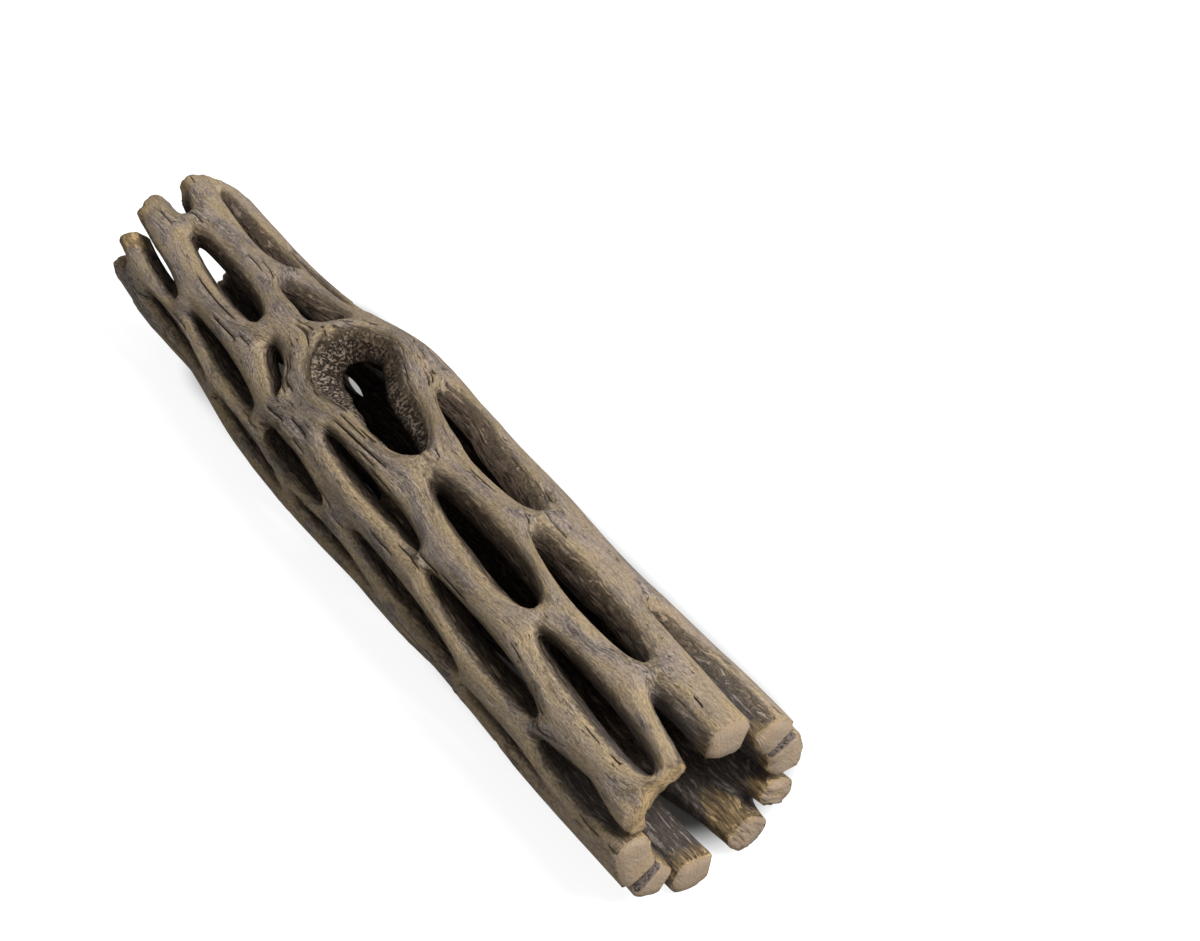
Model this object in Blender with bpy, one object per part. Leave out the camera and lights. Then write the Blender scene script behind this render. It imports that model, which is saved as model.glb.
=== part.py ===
"""Cholla cactus skeleton: the dry, hollow wood of one cactus branch, sawn to length.

The wood of a cholla is a net of strands. Each leaf and spine cushion of the living branch left one long
hole, and the holes follow each other round the branch by a fixed turn, as the cushions did. So the model
starts as a plain tube of straight wood fibres. It is slit once for every hole, each slit is opened to the
outline of its hole, the fibres between settle evenly, and the sheet is then given the thickness of the
wood. The branch lies along X, with its sawn end at +X, and rests on Z = 0.
"""

import math
import random
from collections import namedtuple

import bmesh
import bpy
import numpy as np
from mathutils import Vector, noise
from mathutils.kdtree import KDTree

# Sizes are in millimetres and degrees. "Along" starts at the broken end, and "around" starts on top.
MM = 0.001
LENGTH = 150.0
RADIUS = 15.0
WALL = 5.7
AROUND = 2 * math.pi * RADIUS

# The blank: straight fibres, which wind a little round the branch as the holes do.
COLUMNS = 44
ROWS = 52
FIBRE_LEAN = -5.0
SETTLING_ROUNDS = 400

# The spiral that the holes follow: each next one is a step along and a turn round.
SPIRAL_STEP = 2.44
SPIRAL_TURN = -151.1
SPIRAL_START = (102.6, -22.0)
SPIRAL_NUMBERS = range(-49, 27)
SEED = 11

Hole = namedtuple("Hole", "along around length far middle near lean")

# The holes on the side that the photo shows, at its sawn end, those just out of sight, and a few on the far
# side, by number in the spiral: centre along and around, length, width at a fifth, a half and four fifths
# of it, and lean.
SEEN_HOLES = {
    -45: Hole(-9.0, -62.0, 27.0, 3.0, 4.0, 3.5, -6),
    -43: Hole(-5.5, 2.5, 28.0, 6.0, 7.0, 3.6, -11),
    -41: Hole(3.0, 80.0, 25.0, 3.0, 4.2, 3.6, -5),
    -38: Hole(8.8, -45.5, 25.0, 1.8, 2.6, 2.9, -11),
    -36: Hole(17.0, 27.5, 27.0, 2.8, 4.2, 4.2, -2),
    -33: Hole(24.5, -79.0, 23.0, 2.6, 3.4, 2.8, -9),
    -32: Hole(12.0, 141.0, 20.0, 1.4, 2.0, 1.8, -5),
    -31: Hole(26.7, -18.5, 27.5, 3.5, 4.8, 4.2, -5),
    -29: Hole(31.0, 72.0, 25.0, 3.0, 4.2, 3.6, -5),
    -26: Hole(39.0, -61.5, 25.0, 2.6, 3.9, 3.1, -7),
    -24: Hole(42.3, 11.0, 15.5, 3.4, 4.8, 6.6, 5),
    -22: Hole(52.0, 88.0, 25.0, 3.0, 4.2, 3.6, -5),
    -21: Hole(51.0, -93.0, 23.0, 3.0, 4.0, 3.6, -5),
    -20: Hole(41.3, 123.5, 9.5, 2.5, 3.4, 2.8, -5),
    -19: Hole(51.0, -37.0, 11.5, 2.7, 3.1, 1.9, -24),
    -14: Hole(65.0, -72.5, 19.5, 4.0, 5.0, 3.5, -1),
    -12: Hole(69.5, -5.2, 30.0, 12.2, 8.0, 7.0, -5),
    -10: Hole(78.0, 72.0, 25.0, 3.0, 4.2, 3.6, -5),
    -9: Hole(77.5, -97.5, 23.0, 3.0, 3.8, 3.4, -5),
    -7: Hole(82.5, -44.5, 27.5, 2.3, 2.9, 2.6, -4),
    -5: Hole(88.2, 24.0, 29.5, 5.2, 6.6, 4.8, -4),
    -2: Hole(97.0, -80.5, 30.0, 2.4, 3.6, 3.7, -6),
    -1: Hole(97.0, 141.0, 21.0, 1.2, 1.8, 1.6, -5),
    0: Hole(103.0, -18.0, 29.0, 3.9, 5.2, 5.2, -4),
    2: Hole(108.0, 70.0, 24.0, 3.0, 4.2, 3.6, -5),
    5: Hole(114.0, -60.0, 29.0, 2.8, 4.4, 4.2, -5),
    6: Hole(121.5, 156.0, 21.0, 1.2, 1.8, 1.6, -5),
    7: Hole(120.5, 4.5, 28.0, 3.8, 4.9, 3.8, -4),
    9: Hole(127.0, 86.0, 25.0, 3.0, 4.2, 3.6, -5),
    10: Hole(124.0, -99.0, 22.0, 2.6, 3.4, 3.0, -4),
    11: Hole(126.6, 127.5, 20.0, 1.6, 2.4, 2.2, -5),
    12: Hole(134.3, -34.8, 27.5, 3.2, 4.3, 3.6, -4),
    14: Hole(141.8, 32.0, 34.0, 2.8, 4.4, 4.4, -1),
    16: Hole(142.5, 101.0, 26.0, 2.6, 3.0, 2.2, -4),
    17: Hole(141.0, -77.0, 22.5, 3.4, 5.4, 1.8, 0),
    18: Hole(146.0, 170.0, 27.0, 3.4, 5.2, 4.6, -5),
    19: Hole(152.8, -15.5, 29.0, 3.4, 5.5, 5.6, -8),
    20: Hole(152.0, -151.0, 26.0, 2.6, 2.8, 2.6, -4),
    23: Hole(158.5, 126.0, 26.0, 3.0, 3.4, 3.0, -4),
}
KNOT = -12

# A hole on the hidden side, before chance changes it a little. A few numbers have none: there the side
# branch at the knot took the place of the hole, or the strands have fused. Three more closed up while the
# branch lived: they keep their place among the others, but aren't cut.
HIDDEN_HOLE = Hole(0.0, 0.0, 25.5, 3.0, 4.2, 3.8, -5)
WITHOUT_HOLE = (-17, -3, 13, 15, 21, 22, 24, 25, 26)
CLOSED_HOLES = (-32, -1, 6)
SPREADING_ROUNDS = 60
SPREADING = 0.12
STRETCH = 3.8
ROOM = 9.3

# How far the wood stands out or in from the plain tube: along, around, height, reach along and round.
SWELLINGS = (
    (24.0, 58.0, -1.0, 22.0, 80.0),
    (24.0, -118.0, -2.1, 19.0, 50.0),
    (-4.0, -114.0, -2.4, 17.0, 45.0),
    (61.0, 35.0, 2.4, 13.0, 48.0),
    (82.0, 50.0, 1.2, 25.0, 40.0),
    (56.0, -105.0, 0.7, 16.0, 40.0),
)
KNOT_LIP = 1.1
KNOT_LIP_REACH = 3.2

# Where the wood is thinner than elsewhere, given in the same way.
THIN_PLACES = ((150.0, -48.0, 2.2, 14.0, 26.0),)
UNEVENNESS = 0.3
UNEVENNESS_SPAN = 16.0

# The strands are rounded off towards the holes, outside and inside.
OUTER_DROP = 1.6
INNER_DROP = 1.1
SHOULDER = 2.7

# At the broken end the strands are of unlike length: how far each stands back, by its place around.
BROKEN_AT = (-180.0, -105.0, -72.0, -47.0, -22.0, 22.0, 70.0, 130.0)
BROKEN_BACK = (0.5, 0.5, -2.2, 1.0, -0.5, -3.6, 0.4, -1.0)
END_REACH = 12.0

# The saw cut isn't quite square: how far its lower edge stands back.
SAWN_BACK = 0.5

# The underside is worn flat where the branch lies on the ground.
WORN_DEPTH = 0.45

# Edges sharper than this stay crisp: those of the sawn end and of the worn underside.
SHARP_FROM = 50.0


def wrapped(angle):
    """An angle in degrees, brought to between -180 and 180."""
    return (angle + 180.0) % 360.0 - 180.0


def all_holes():
    """The seen holes and the hidden ones, which push each other apart until their strands are even."""
    chance = random.Random(SEED)
    holes = dict(SEEN_HOLES)
    for number in SPIRAL_NUMBERS:
        longer = chance.uniform(0.92, 1.04)
        wider = chance.uniform(0.85, 1.15)
        if number not in holes and number not in WITHOUT_HOLE:
            holes[number] = Hole(
                SPIRAL_START[0] + SPIRAL_STEP * number,
                wrapped(SPIRAL_START[1] + SPIRAL_TURN * number),
                HIDDEN_HOLE.length * longer,
                HIDDEN_HOLE.far * wider,
                HIDDEN_HOLE.middle * wider,
                HIDDEN_HOLE.near * wider,
                HIDDEN_HOLE.lean,
            )
    for _ in range(SPREADING_ROUNDS):
        for number in sorted(holes.keys() - SEEN_HOLES.keys()):
            hole = holes[number]
            others = [other for key, other in holes.items() if key != number]
            pushes = [push_between(hole, other) for other in others]
            along, around = np.sum(pushes, axis=0)
            holes[number] = hole._replace(
                along=hole.along + along, around=wrapped(hole.around + math.degrees(around / RADIUS))
            )
    return {number: hole for number, hole in holes.items() if number not in CLOSED_HOLES}


def push_between(hole, other):
    """How far one hole moves away from another, along and around, when they lie too near."""
    down = hole.along - other.along
    aside = math.radians(wrapped(hole.around - other.around)) * RADIUS
    aside -= math.tan(math.radians(FIBRE_LEAN)) * down
    distance = math.hypot(down / STRETCH, aside)
    push = SPREADING * max(0.0, ROOM / distance - 1)
    return push * down, push * aside


def hole_side(hole, side, count):
    """Evenly spaced points down one side of a hole, as distances along and around the surface."""
    down = (1 - np.cos(np.linspace(0, np.pi, 181))) / 2
    roundness = (4 * down * (1 - down)) ** 0.45
    stations = (0.0, 0.2, 0.5, 0.8, 1.0)
    fifth = 0.64**0.45
    widths = (hole.far / fifth, hole.far / fifth, hole.middle, hole.near / fifth, hole.near / fifth)
    half = side * roundness * np.interp(down, stations, widths) / 2
    lean = math.radians(hole.lean)
    centre = (down - 0.5) * hole.length
    along = hole.along + centre * math.cos(lean) - half * math.sin(lean)
    around = math.radians(hole.around) * RADIUS + centre * math.sin(lean) + half * math.cos(lean)
    inside = (along >= 0) & (along <= LENGTH)
    along = along[inside]
    around = around[inside]
    walked = np.concatenate([[0], np.cumsum(np.hypot(np.diff(along), np.diff(around)))])
    stops = np.linspace(0, walked[-1], count + 1)
    return np.stack((np.interp(stops, walked, along), np.interp(stops, walked, around)), axis=1)


def fibre_tube():
    """A tube of straight fibres, with the column and the row of each vertex kept in two layers."""
    bm = bmesh.new()
    bmesh.ops.create_cone(
        bm, cap_ends=False, segments=COLUMNS, radius1=RADIUS, radius2=RADIUS, depth=LENGTH
    )
    lengthwise = [edge for edge in bm.edges if edge.calc_length() > LENGTH / 2]
    bmesh.ops.subdivide_edges(bm, edges=lengthwise, cuts=ROWS - 1, use_grid_fill=True)
    column = bm.verts.layers.int.new("column")
    row = bm.verts.layers.int.new("row")
    for vert in bm.verts:
        turn = math.atan2(vert.co.y, vert.co.x) / (2 * math.pi)
        vert[column] = round(turn * COLUMNS) % COLUMNS
        vert[row] = round((vert.co.z / LENGTH + 0.5) * ROWS)
    return bm


def lean_at(along):
    """How far the leaning fibres have wound round the tube here."""
    return math.tan(math.radians(FIBRE_LEAN)) * (along - LENGTH / 2)


def slit_tube(bm, holes):
    """Slits the tube once for each hole. Returns where each vertex of a slit goes, along and around."""
    column = bm.verts.layers.int["column"]
    row = bm.verts.layers.int["row"]
    fibre = {(vert[column], vert[row]): vert for vert in bm.verts}
    cuts = set()
    places = {}
    for hole in holes.values():
        start = hole.along - hole.length / 2
        stop = hole.along + hole.length / 2
        first = max(int(start > 0), round(start * ROWS / LENGTH))
        last = min(ROWS - int(stop < LENGTH), round(stop * ROWS / LENGTH))
        if last - first < 2:
            continue
        middle = math.radians(hole.around) * RADIUS - lean_at(hole.along)
        slit_column = round(middle * COLUMNS / AROUND) % COLUMNS
        sides = [hole_side(hole, side, last - first) for side in (-1, 1)]
        for at in range(first, last + 1):
            places[slit_column, at] = [side[at - first] for side in sides]
        chain = [fibre[slit_column, at] for at in range(first, last + 1)]
        cuts |= {bm.edges.get(pair) for pair in zip(chain, chain[1:])}
    bmesh.ops.split_edges(bm, edges=list(cuts))
    bm.verts.index_update()
    pinned = {}
    for vert in bm.verts:
        sides = places.get((vert[column], vert[row]))
        if sides:
            own = math.atan2(vert.co.y, vert.co.x)
            middles = [face.calc_center_median() for face in vert.link_faces]
            turn = sum(math.remainder(math.atan2(at.y, at.x) - own, 2 * math.pi) for at in middles)
            pinned[vert.index] = sides[1 if turn > 0 else 0]
    return pinned


def settled_sheet(bm, pinned):
    """Lets the fibres settle evenly between the opened slits. Returns each vertex's place on the surface."""
    column = bm.verts.layers.int["column"]
    row = bm.verts.layers.int["row"]
    straight = np.array([
        (vert[row] * LENGTH / ROWS, vert[column] * AROUND / COLUMNS) for vert in bm.verts
    ])
    straight[:, 1] += [lean_at(along) for along in straight[:, 0]]
    fixed = np.array(list(pinned))
    moved = np.zeros_like(straight)
    moved[fixed] = np.array(list(pinned.values())) - straight[fixed]
    moved[:, 1] -= AROUND * np.round(moved[:, 1] / AROUND)
    held = moved[fixed]
    ends = np.array([vert[row] in (0, ROWS) for vert in bm.verts])
    pairs = np.array([[vert.index for vert in edge.verts] for edge in bm.edges])
    lengthwise = straight[pairs[:, 0], 0] != straight[pairs[:, 1], 0]
    shape = (LENGTH / ROWS) / (AROUND / COLUMNS)
    pull = np.where(lengthwise, 1 / shape, shape)
    count = len(straight)
    total = np.bincount(pairs.ravel(), np.repeat(pull, 2), count)
    for _ in range(SETTLING_ROUNDS):
        for axis in (0, 1):
            drawn = np.bincount(pairs[:, 0], pull * moved[pairs[:, 1], axis], count)
            drawn += np.bincount(pairs[:, 1], pull * moved[pairs[:, 0], axis], count)
            moved[:, axis] = drawn / total
        moved[fixed] = held
        moved[ends, 0] = 0
    sheet = straight + moved
    sheet[:, 1] -= AROUND * np.round(sheet[:, 1] / AROUND)
    return sheet


def rim_distances(sheet, rim):
    """How far each vertex lies from the nearest vertex of a rim, over the surface."""
    tree = KDTree(3 * len(rim))
    for index in rim:
        for lap in (-AROUND, 0, AROUND):
            tree.insert((sheet[index, 0], sheet[index, 1] + lap, 0), index)
    tree.balance()
    return np.array([tree.find((along, around, 0))[2] for along, around in sheet])


def hump(places, along, around):
    """How high a few soft humps are here together."""
    height = 0.0
    for centre, angle, rise, reach, spread in places:
        down = (along - centre) / reach
        aside = wrapped(math.degrees(around / RADIUS) - angle) / spread
        height += rise * math.exp(-down * down - aside * aside)
    return height


def swelling(along, around):
    """How far the wood stands out here from the plain tube."""
    at = Vector((along, RADIUS * math.cos(around / RADIUS), RADIUS * math.sin(around / RADIUS)))
    return hump(SWELLINGS, along, around) + UNEVENNESS * noise.noise(at / UNEVENNESS_SPAN)


def shoulder(distance, drop):
    """The quarter round that a strand has beside a hole."""
    left = 1 - np.clip(distance / SHOULDER, 0, 1)
    return drop * (1 - np.sqrt(1 - left * left))


def wood_surfaces(bm, sheet, pinned, knot):
    """The radius of each vertex on the outside and on the inside of the wood."""
    row = bm.verts.layers.int["row"]
    broken = {vert.index for vert in bm.verts if vert[row] == 0}
    from_knot = np.hypot(
        sheet[:, 0] - knot.along, sheet[:, 1] - math.radians(knot.around) * RADIUS
    )
    knot_rim = [index for index in pinned if from_knot[index] < knot.length * 0.56]
    to_rim = rim_distances(sheet, sorted(broken.union(pinned)))
    to_knot = rim_distances(sheet, knot_rim)
    crown = np.array([RADIUS + swelling(along, around) for along, around in sheet])
    crown += KNOT_LIP * np.exp(-((to_knot / KNOT_LIP_REACH) ** 2))
    outer = crown - shoulder(to_rim, OUTER_DROP)
    thinned = np.array([hump(THIN_PLACES, along, around) for along, around in sheet])
    inner = crown - WALL + thinned + shoulder(to_rim, INNER_DROP)
    return outer, inner


def thicken(bm, sheet, outer, inner):
    """Wraps the sheet round the branch, and gives it the thickness of the wood."""
    source = bm.verts.layers.int.new("source")
    for vert in bm.verts:
        vert[source] = vert.index
    raised = bmesh.ops.extrude_face_region(bm, geom=list(bm.faces), use_keep_orig=True)["geom"]
    inside = {item for item in raised if isinstance(item, bmesh.types.BMVert)}
    for vert in bm.verts:
        along, around = sheet[vert[source]]
        angle = around / RADIUS
        broken_back = np.interp(math.degrees(angle), BROKEN_AT, BROKEN_BACK, period=360)
        sawn_back = SAWN_BACK * (1 - math.cos(angle)) / 2
        to_broken = max(0.0, 1 - along / END_REACH)
        to_sawn = max(0.0, 1 - (LENGTH - along) / END_REACH)
        along += broken_back * to_broken**2 - sawn_back * to_sawn**2
        radius = (inner if vert in inside else outer)[vert[source]]
        vert.co = (along, radius * math.sin(angle), radius * math.cos(angle))


def lay_down(bm):
    """Wears the underside flat, and lays it on Z = 0 with the origin at the middle of the footprint."""
    ground = min(vert.co.z for vert in bm.verts) + WORN_DEPTH
    for vert in bm.verts:
        vert.co.z = max(vert.co.z, ground)
    lowest, highest = (
        Vector([pick(vert.co[axis] for vert in bm.verts) for axis in range(3)]) for pick in (min, max)
    )
    middle = (lowest + highest) / 2
    bmesh.ops.translate(bm, verts=bm.verts, vec=(-middle.x, -middle.y, -ground))


def build_skeleton():
    """The whole branch as one closed mesh, in metres."""
    holes = all_holes()
    bm = fibre_tube()
    pinned = slit_tube(bm, holes)
    sheet = settled_sheet(bm, pinned)
    outer, inner = wood_surfaces(bm, sheet, pinned, holes[KNOT])
    thicken(bm, sheet, outer, inner)
    lay_down(bm)
    bmesh.ops.recalc_face_normals(bm, faces=bm.faces)
    bmesh.ops.scale(bm, verts=bm.verts, vec=(MM, MM, MM))
    return bm


def main():
    for thing in list(bpy.data.objects):
        bpy.data.objects.remove(thing)
    bm = build_skeleton()
    mesh = bpy.data.meshes.new("cholla_skeleton")
    bm.to_mesh(mesh)
    bm.free()
    mesh.shade_smooth()
    mesh.set_sharp_from_angle(angle=math.radians(SHARP_FROM))
    wood = bpy.data.materials.new("weathered wood")
    wood.use_nodes = True
    shader = wood.node_tree.nodes["Principled BSDF"]
    shader.inputs["Base Color"].default_value = (0.27, 0.21, 0.14, 1)
    shader.inputs["Roughness"].default_value = 0.85
    mesh.materials.append(wood)
    skeleton = bpy.data.objects.new("cholla_skeleton", mesh)
    collection = bpy.data.collections.new("Cholla cactus skeleton")
    bpy.context.scene.collection.children.link(collection)
    collection.objects.link(skeleton)


main()
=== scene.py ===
# %% [markdown]
# # A cholla cactus skeleton
#
# A dead cholla cactus leaves a hollow wooden tube that is open like a net. Each spine cushion of the living
# branch left one long hole, and all the fibres run in the strands between them. The lesson grows the wood as
# the plant did: a tube of straight fibres is slit once for each hole, and the fibres settle round the slits.

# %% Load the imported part
import math
import random
from collections import namedtuple

import bmesh
import bpy
import numpy as np
from mathutils import Matrix, Vector, noise
from mathutils.kdtree import KDTree


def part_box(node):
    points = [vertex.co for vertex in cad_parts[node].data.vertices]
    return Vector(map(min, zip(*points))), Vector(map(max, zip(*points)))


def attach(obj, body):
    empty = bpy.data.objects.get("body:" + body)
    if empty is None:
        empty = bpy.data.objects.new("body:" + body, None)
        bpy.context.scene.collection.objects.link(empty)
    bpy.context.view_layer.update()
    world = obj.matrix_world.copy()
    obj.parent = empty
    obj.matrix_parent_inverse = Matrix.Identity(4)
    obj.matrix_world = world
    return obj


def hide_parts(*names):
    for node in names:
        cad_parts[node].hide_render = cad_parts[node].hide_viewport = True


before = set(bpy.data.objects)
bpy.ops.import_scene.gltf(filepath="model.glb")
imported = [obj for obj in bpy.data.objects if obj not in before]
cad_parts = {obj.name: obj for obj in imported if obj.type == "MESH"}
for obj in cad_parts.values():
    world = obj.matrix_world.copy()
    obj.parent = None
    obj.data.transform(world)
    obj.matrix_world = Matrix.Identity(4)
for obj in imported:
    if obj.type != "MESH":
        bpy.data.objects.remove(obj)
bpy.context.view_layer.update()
WOOD_LOW, WOOD_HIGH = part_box("cholla_skeleton")
print("packed wood from", tuple(WOOD_LOW), "to", tuple(WOOD_HIGH))

# %% [markdown]
# The sizes of the tube are in millimetres and degrees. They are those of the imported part, because the fine
# wood made here fills the same space. "Along" starts at the broken end of the branch and "around" starts on
# its top. Only the net is finer, with more columns of fibres and more rows of points.

# %% Sizes of the branch
MM = 0.001
LENGTH = 150.0
RADIUS = 15.0
WALL = 5.7
AROUND = 2 * math.pi * RADIUS
COLUMNS = 168
ROWS = 220
WALL_RINGS = 5
FIBRE_LEAN = -5.0

# The tube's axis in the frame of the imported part, and how far along the branch that frame has its origin.
AXIS_SIDE = -0.28
AXIS_HEIGHT = 14.60
ORIGIN_ALONG = LENGTH - WOOD_HIGH.x / MM
print("origin is", round(ORIGIN_ALONG, 2), "mm from the broken end")

# %% [markdown]
# The camera looks down at the branch from beyond its sawn end. Its place and turn come from the edges and
# the ends of the tube in the photograph, so the picture has the same perspective.

# %% Camera
CAMERA_PLACE = (0.19588, -0.10186, 0.20615)
CAMERA_RIGHT = (0.57568, 0.81768, 0.0)
CAMERA_UP = (-0.53499, 0.37665, 0.75625)
CAMERA_BACK = (0.61837, -0.43536, 0.65428)
PICTURE_WIDTH = 1200
FOCAL_PIXELS = 1936

camera = bpy.data.objects.new("camera", bpy.data.cameras.new("camera"))
camera.data.sensor_width = 36.0
camera.data.lens = FOCAL_PIXELS / PICTURE_WIDTH * camera.data.sensor_width
camera.data.clip_start = 0.01
turn = Matrix((CAMERA_RIGHT, CAMERA_UP, CAMERA_BACK)).transposed().to_4x4()
camera.matrix_world = Matrix.Translation(CAMERA_PLACE) @ turn
bpy.context.scene.collection.objects.link(camera)
bpy.context.scene.camera = camera
print("lens", round(camera.data.lens, 1), "mm")

# %% [markdown]
# The holes follow a spiral, as the spine cushions did: each next one is a short step along and a turn of a
# little over 150 degrees round. Those that the photograph shows are listed with their place, length, widths
# and lean, and so are some at the outline and on the far side, of which less is seen. The rest follow the
# rule. Three closed up while the branch lived: they keep their place, uncut.

# %% The spiral of holes
SPIRAL_STEP = 2.44
SPIRAL_TURN = -151.1
SPIRAL_START = (102.6, -22.0)
SPIRAL_NUMBERS = range(-49, 27)
SEED = 11
Hole = namedtuple("Hole", "along around length far middle near lean")
LISTED_HOLES = {number: Hole(*sizes) for number, sizes in {
    -45: (-9, -62, 27, 3, 4, 3.5, -6),
    -43: (-5.5, 2.5, 28, 6, 7, 3.6, -11),
    -41: (3, 80, 25, 3, 4.2, 3.6, -5),
    -38: (8.8, -45.5, 25, 1.8, 2.6, 2.9, -11),
    -36: (17, 27.5, 27, 2.8, 4.2, 4.2, -2),
    -33: (24.5, -79, 23, 2.6, 3.4, 2.8, -9),
    -32: (12, 141, 20, 1.4, 2, 1.8, -5),
    -31: (26.7, -18.5, 27.5, 3.5, 4.8, 4.2, -5),
    -29: (31, 72, 25, 3, 4.2, 3.6, -5),
    -26: (39, -61.5, 25, 2.6, 3.9, 3.1, -7),
    -24: (42.3, 11, 15.5, 3.4, 4.8, 6.6, 5),
    -22: (52, 88, 25, 3, 4.2, 3.6, -5),
    -21: (51, -93, 23, 3, 4, 3.6, -5),
    -20: (41.3, 123.5, 9.5, 2.5, 3.4, 2.8, -5),
    -19: (51, -37, 11.5, 2.7, 3.1, 1.9, -24),
    -14: (65, -72.5, 19.5, 4, 5, 3.5, -1),
    -12: (69.5, -5.2, 30, 12.2, 8, 7, -5),
    -10: (78, 72, 25, 3, 4.2, 3.6, -5),
    -9: (77.5, -97.5, 23, 3, 3.8, 3.4, -5),
    -7: (82.5, -44.5, 27.5, 2.3, 2.9, 2.6, -4),
    -5: (88.2, 24, 29.5, 5.2, 6.6, 4.8, -4),
    -2: (97, -80.5, 30, 2.4, 3.6, 3.7, -6),
    -1: (97, 141, 21, 1.2, 1.8, 1.6, -5),
    0: (103, -18, 29, 3.9, 5.2, 5.2, -4),
    2: (108, 70, 24, 3, 4.2, 3.6, -5),
    5: (114, -60, 29, 2.8, 4.4, 4.2, -5),
    6: (121.5, 156, 21, 1.2, 1.8, 1.6, -5),
    7: (120.5, 4.5, 28, 3.8, 4.9, 3.8, -4),
    9: (127, 86, 25, 3, 4.2, 3.6, -5),
    10: (124, -99, 22, 2.6, 3.4, 3, -4),
    11: (126.6, 127.5, 20, 1.6, 2.4, 2.2, -5),
    12: (134.3, -34.8, 27.5, 3.2, 4.3, 3.6, -4),
    14: (141.8, 32, 34, 2.8, 4.4, 4.4, -1),
    16: (142.5, 101, 26, 2.6, 3, 2.2, -4),
    17: (141, -77, 22.5, 3.4, 5.4, 1.8, 0),
    18: (146, 170, 27, 3.4, 5.2, 4.6, -5),
    19: (152.8, -15.5, 29, 3.4, 5.5, 5.6, -8),
    20: (152, -151, 26, 2.6, 2.8, 2.6, -4),
    23: (158.5, 126, 26, 3, 3.4, 3, -4),
}.items()}
KNOT = -12
HIDDEN_HOLE = Hole(0.0, 0.0, 25.5, 3.0, 4.2, 3.8, -5)
WITHOUT_HOLE = (-17, -3, 13, 15, 21, 22, 24, 25, 26)
CLOSED_HOLES = (-32, -1, 6)
SPREADING_ROUNDS = 60
SPREADING = 0.12
STRETCH = 3.8
ROOM = 9.3
LONGER = (0.92, 1.04)
WIDER = (0.85, 1.15)


def wrapped(angle):
    """An angle in degrees, brought to between -180 and 180."""
    return (angle + 180.0) % 360.0 - 180.0


def push_between(hole, other):
    """How far one hole moves away from another, along and around, when they lie too near."""
    down = hole.along - other.along
    aside = math.radians(wrapped(hole.around - other.around)) * RADIUS
    aside -= math.tan(math.radians(FIBRE_LEAN)) * down
    distance = math.hypot(down / STRETCH, aside)
    push = SPREADING * max(0.0, ROOM / distance - 1)
    return push * down, push * aside


def all_holes():
    """The listed holes, and the hidden ones, which push each other apart."""
    chance = random.Random(SEED)
    holes = dict(LISTED_HOLES)
    for number in SPIRAL_NUMBERS:
        longer = chance.uniform(*LONGER)
        wider = chance.uniform(*WIDER)
        if number not in holes and number not in WITHOUT_HOLE:
            along = SPIRAL_START[0] + SPIRAL_STEP * number
            around = wrapped(SPIRAL_START[1] + SPIRAL_TURN * number)
            length, *widths, lean = HIDDEN_HOLE[2:]
            widths = [width * wider for width in widths]
            holes[number] = Hole(along, around, length * longer, *widths, lean)
    for _ in range(SPREADING_ROUNDS):
        for number in sorted(holes.keys() - LISTED_HOLES.keys()):
            hole = holes[number]
            others = [other for key, other in holes.items() if key != number]
            along, around = np.sum([push_between(hole, other) for other in others], axis=0)
            holes[number] = hole._replace(
                along=hole.along + along, around=wrapped(hole.around + math.degrees(around / RADIUS))
            )
    return {number: hole for number, hole in holes.items() if number not in CLOSED_HOLES}


HOLES = all_holes()
knot = HOLES[KNOT]
print(len(HOLES), "holes,", len(LISTED_HOLES), "of them placed one by one")

# %% [markdown]
# A hole is a long oval, given by its widths at a fifth, a half and four fifths of its length. Its sides are
# walked in even steps, because each step becomes one row of points on the rim. Each point also gets the way
# to the hole's middle line, for the walls that slope into the hole.

# %% Outline of a hole
ROUNDNESS = 0.45
OPEN_AT_FIFTH = 0.64
DRAWN_IN = 0.86
OUTLINE_POINTS = 181


def hole_side(hole, side, count):
    """Even points down one side: along and around, then the way from there to the middle line."""
    down = (1 - np.cos(np.linspace(0, np.pi, OUTLINE_POINTS))) / 2
    roundness = (4 * down * (1 - down)) ** ROUNDNESS
    stations = (0.0, 0.2, 0.5, 0.8, 1.0)
    fifth = OPEN_AT_FIFTH**ROUNDNESS
    widths = (hole.far / fifth, hole.far / fifth, hole.middle, hole.near / fifth, hole.near / fifth)
    half = side * roundness * np.interp(down, stations, widths) / 2
    lean = math.radians(hole.lean)
    centre = (down - 0.5) * hole.length
    line_along = hole.along + DRAWN_IN * centre * math.cos(lean)
    line_around = math.radians(hole.around) * RADIUS + DRAWN_IN * centre * math.sin(lean)
    along = hole.along + centre * math.cos(lean) - half * math.sin(lean)
    around = math.radians(hole.around) * RADIUS + centre * math.sin(lean) + half * math.cos(lean)
    inside = (along >= 0) & (along <= LENGTH)
    walk = np.stack((along, around, line_along - along, line_around - around), axis=1)[inside]
    steps = np.hypot(np.diff(walk[:, 0]), np.diff(walk[:, 1]))
    walked = np.concatenate([[0], np.cumsum(steps)])
    stops = np.linspace(0, walked[-1], count + 1)
    return np.stack([np.interp(stops, walked, part) for part in walk.T], axis=1)


# %% [markdown]
# The blank is a cone with equal ends and no caps, which is a tube. Only its long edges are subdivided, so
# every column of points is one straight fibre. Each point keeps its column and row in two layers, because
# the points are about to move far.

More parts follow.
